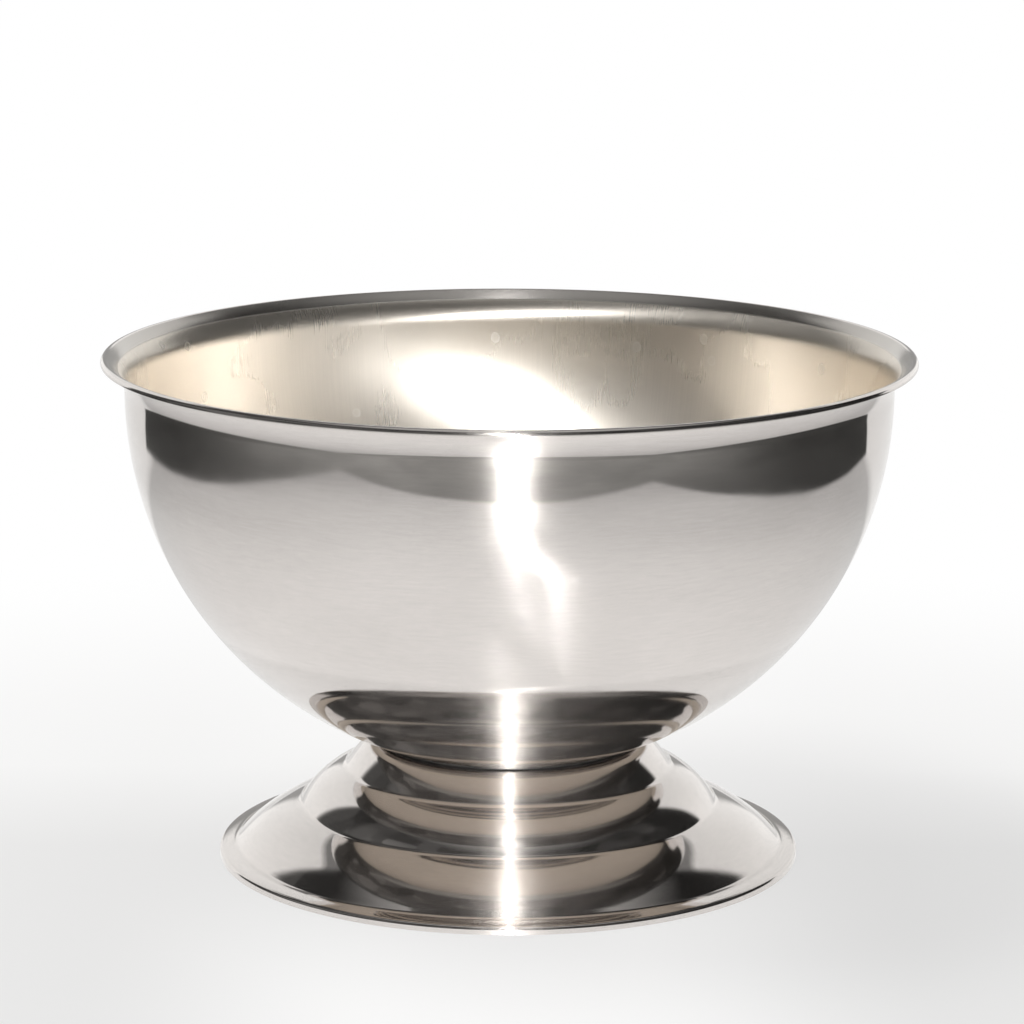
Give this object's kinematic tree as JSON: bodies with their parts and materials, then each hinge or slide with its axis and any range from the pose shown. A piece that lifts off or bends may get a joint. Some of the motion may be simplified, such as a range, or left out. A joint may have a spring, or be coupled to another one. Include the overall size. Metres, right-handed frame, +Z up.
{
  "type": "punch bowl",
  "caption": "Footed stainless-steel punch bowl: a spun hemispherical bowl with a flared lip, bolted through a gasket to a stepped trumpet foot.",
  "frame": {"origin": "centre of the foot's resting face, on the surface that the bowl stands on", "axes": "+Z up along the bowl's axis of revolution; +X and +Y are equal, and the lock washer's split faces +X"},
  "size_m": [0.4, 0.4, 0.252],
  "materials": {
    "polished_steel": "mirror-polished stainless sheet with faint spinning lines; the bowl's inside is satin",
    "welded_steel": "mill-finish stainless, slightly heat-tinted at the welds",
    "fastener_steel": "plain stainless fasteners",
    "gasket_rubber": "dark matt rubber"
  },
  "bodies": {
    "root": {"bowl_shell": "polished_steel", "doubler_plate": "welded_steel", "weld_stud": "welded_steel", "seat_gasket": "gasket_rubber", "foot_shell": "polished_steel", "spreader_washer": "fastener_steel", "lock_washer": "fastener_steel", "dome_nut": "fastener_steel"}
  },
  "joints": []
}
